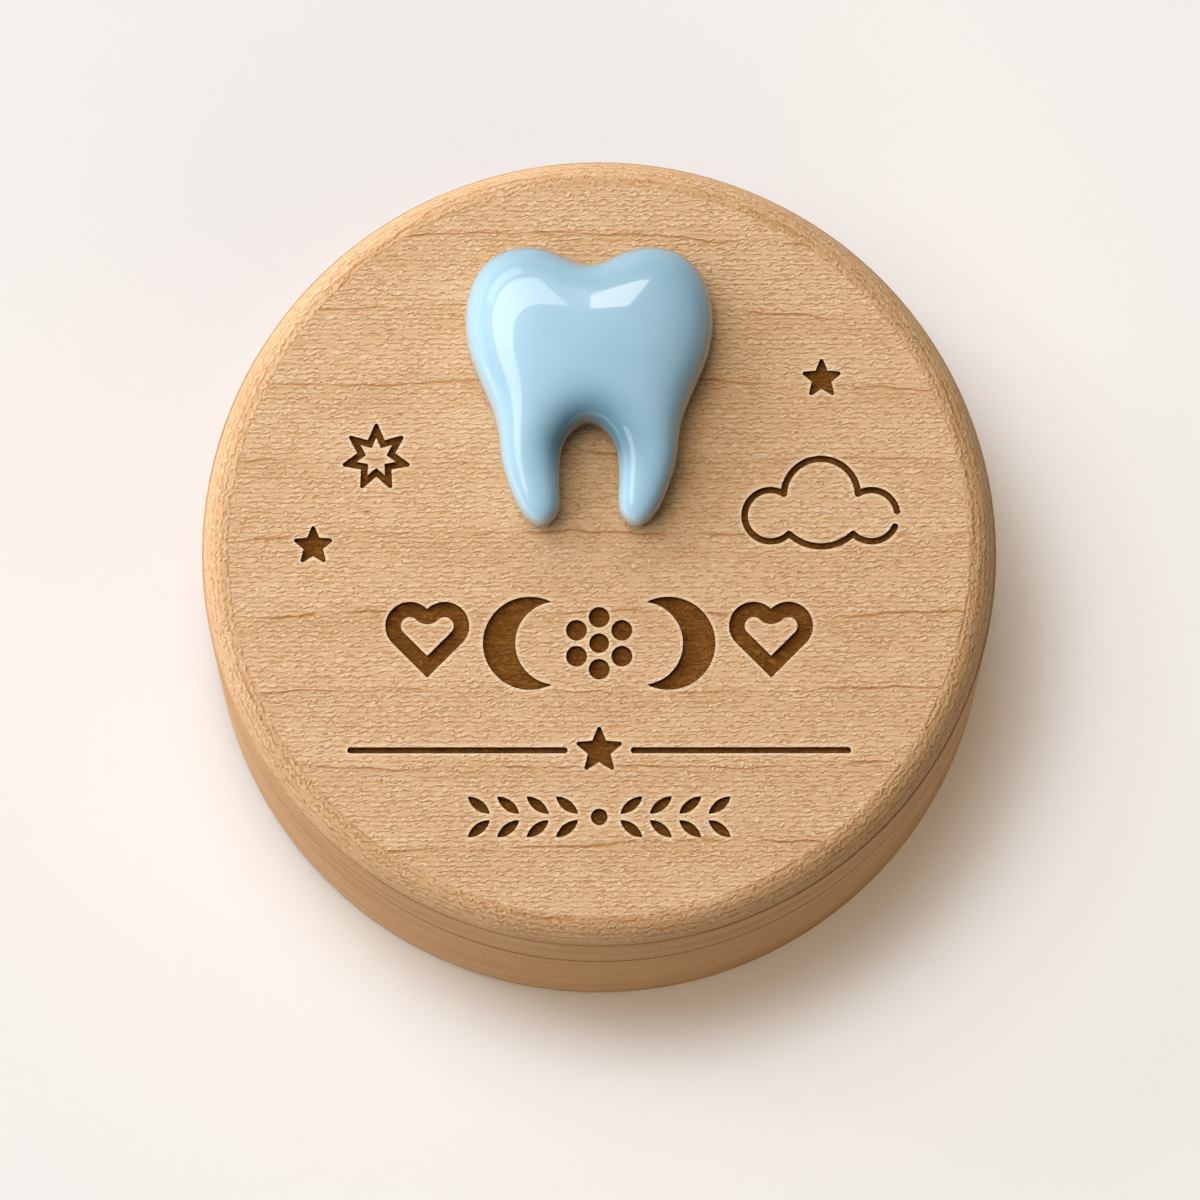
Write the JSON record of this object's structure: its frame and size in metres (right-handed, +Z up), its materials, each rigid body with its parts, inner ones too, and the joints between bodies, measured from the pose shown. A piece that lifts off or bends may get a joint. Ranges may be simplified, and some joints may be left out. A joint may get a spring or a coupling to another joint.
{
  "type": "baby tooth box",
  "caption": "Round turned wooden keepsake box for milk teeth, with a lift-off engraved lid that carries a glazed tooth, and a removable divided tray inside.",
  "frame": {"origin": "middle of the foot pad's underside, on the surface that the box stands on", "axes": "+Z up along the turning axis; -Y is the side that the ornaments are read from, +X to its right"},
  "size_m": [0.076, 0.076, 0.0482],
  "materials": {
    "beech": "waxed beech",
    "glaze": "high gloss glaze",
    "felt": "wool felt",
    "nickel": "nickel plate"
  },
  "bodies": {
    "base": {"base_cup": "beech", "foot_pad": "felt", "floor_lining": "felt", "rim_magnets": "nickel"},
    "tray": {"tray_floor": "beech", "tray_ring": "beech", "tray_partitions": "beech", "tray_knob": "beech"},
    "lid": {"lid": "beech", "lid_lining": "felt", "lid_magnets": "nickel", "ornament_dowels": "beech", "tooth_ornament": "glaze"}
  },
  "joints": [
    {"name": "tray_lift", "type": "slide", "parent": "base", "child": "tray", "axis": [0, 0, 1], "range_m": [0, 0.03]},
    {"name": "lid_lift", "type": "slide", "parent": "tray", "child": "lid", "axis": [0, 0, 1], "range_m": [0, 0.06]}
  ]
}
